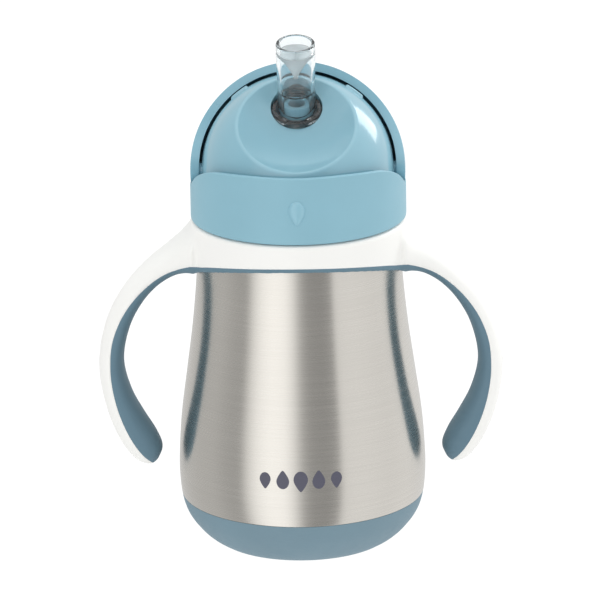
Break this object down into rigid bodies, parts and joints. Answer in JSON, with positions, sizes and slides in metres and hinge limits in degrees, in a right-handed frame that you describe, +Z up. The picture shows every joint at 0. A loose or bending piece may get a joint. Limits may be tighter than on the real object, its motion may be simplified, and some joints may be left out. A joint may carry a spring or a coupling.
{
  "type": "straw sippy cup",
  "caption": "Insulated steel straw cup for toddlers with a side-handle ring, screw lid, and a turning shutter that folds its soft spout.",
  "frame": {"origin": "centre of the foot, on the surface it stands on", "axes": "+Z up along the bottle's axis, -Y towards the drinker (the side the spout leans to), +X and -X along the two handle arms"},
  "size_m": [0.1308, 0.08, 0.1694],
  "materials": {
    "brushed_steel_body": "fine brushing round the body",
    "bare_steel": "plain pressed steel",
    "base_blue": "matte",
    "handle_white": "satin",
    "grip_blue": "soft matte",
    "lid_blue": "satin",
    "dome_blue": "polished",
    "shutter_blue": "satin",
    "clear_silicone": "clear, soft",
    "white_silicone": "soft satin",
    "solder": "dull",
    "getter_grey": "sintered"
  },
  "bodies": {
    "bottle": {"outer_shell": "brushed_steel_body", "inner_flask": "bare_steel", "base_plate": "bare_steel", "vacuum_seal": "solder", "getter": "getter_grey", "base_cup": "base_blue"},
    "handle": {"handle_frame": "handle_white", "handle_grip": "grip_blue"},
    "gasket": {"lid_gasket": "white_silicone"},
    "lid": {"lid_collar": "lid_blue", "lid_dome": "dome_blue", "vent_valve": "white_silicone", "spout_root": "clear_silicone", "straw_tube": "clear_silicone"},
    "shutter": {"shutter": "shutter_blue"},
    "spout": {"spout_tip": "clear_silicone"}
  },
  "joints": [
    {"name": "handle_lift", "type": "slide", "parent": "bottle", "child": "handle", "axis": [0, 0, 1], "range_m": [0, 0.13]},
    {"name": "lid_rise", "type": "slide", "parent": "handle", "child": "gasket", "axis": [0, 0, 1], "range_m": [0, 0.0036]},
    {"name": "lid_turn", "type": "hinge", "parent": "gasket", "child": "lid", "pos_m": [0, 0, 0.112], "axis": [0, 0, 1], "range_deg": [0, 338]},
    {"name": "shutter_turn", "type": "hinge", "parent": "lid", "child": "shutter", "pos_m": [0, 0, 0.1236], "axis": [1, 0, 0], "range_deg": [0, 94]},
    {"name": "spout_fold", "type": "hinge", "parent": "lid", "child": "spout", "pos_m": [0, -0.00513, 0.15027], "axis": [1, 0, 0], "range_deg": [0, 114.5], "deforming": ["spout_tip"]}
  ],
  "couplings": [
    {"joint": "lid_rise", "follows": "lid_turn", "m_per_rad": 0.00057296},
    {"joint": "spout_fold", "follows": "shutter_turn", "ratio": 1.2128}
  ]
}
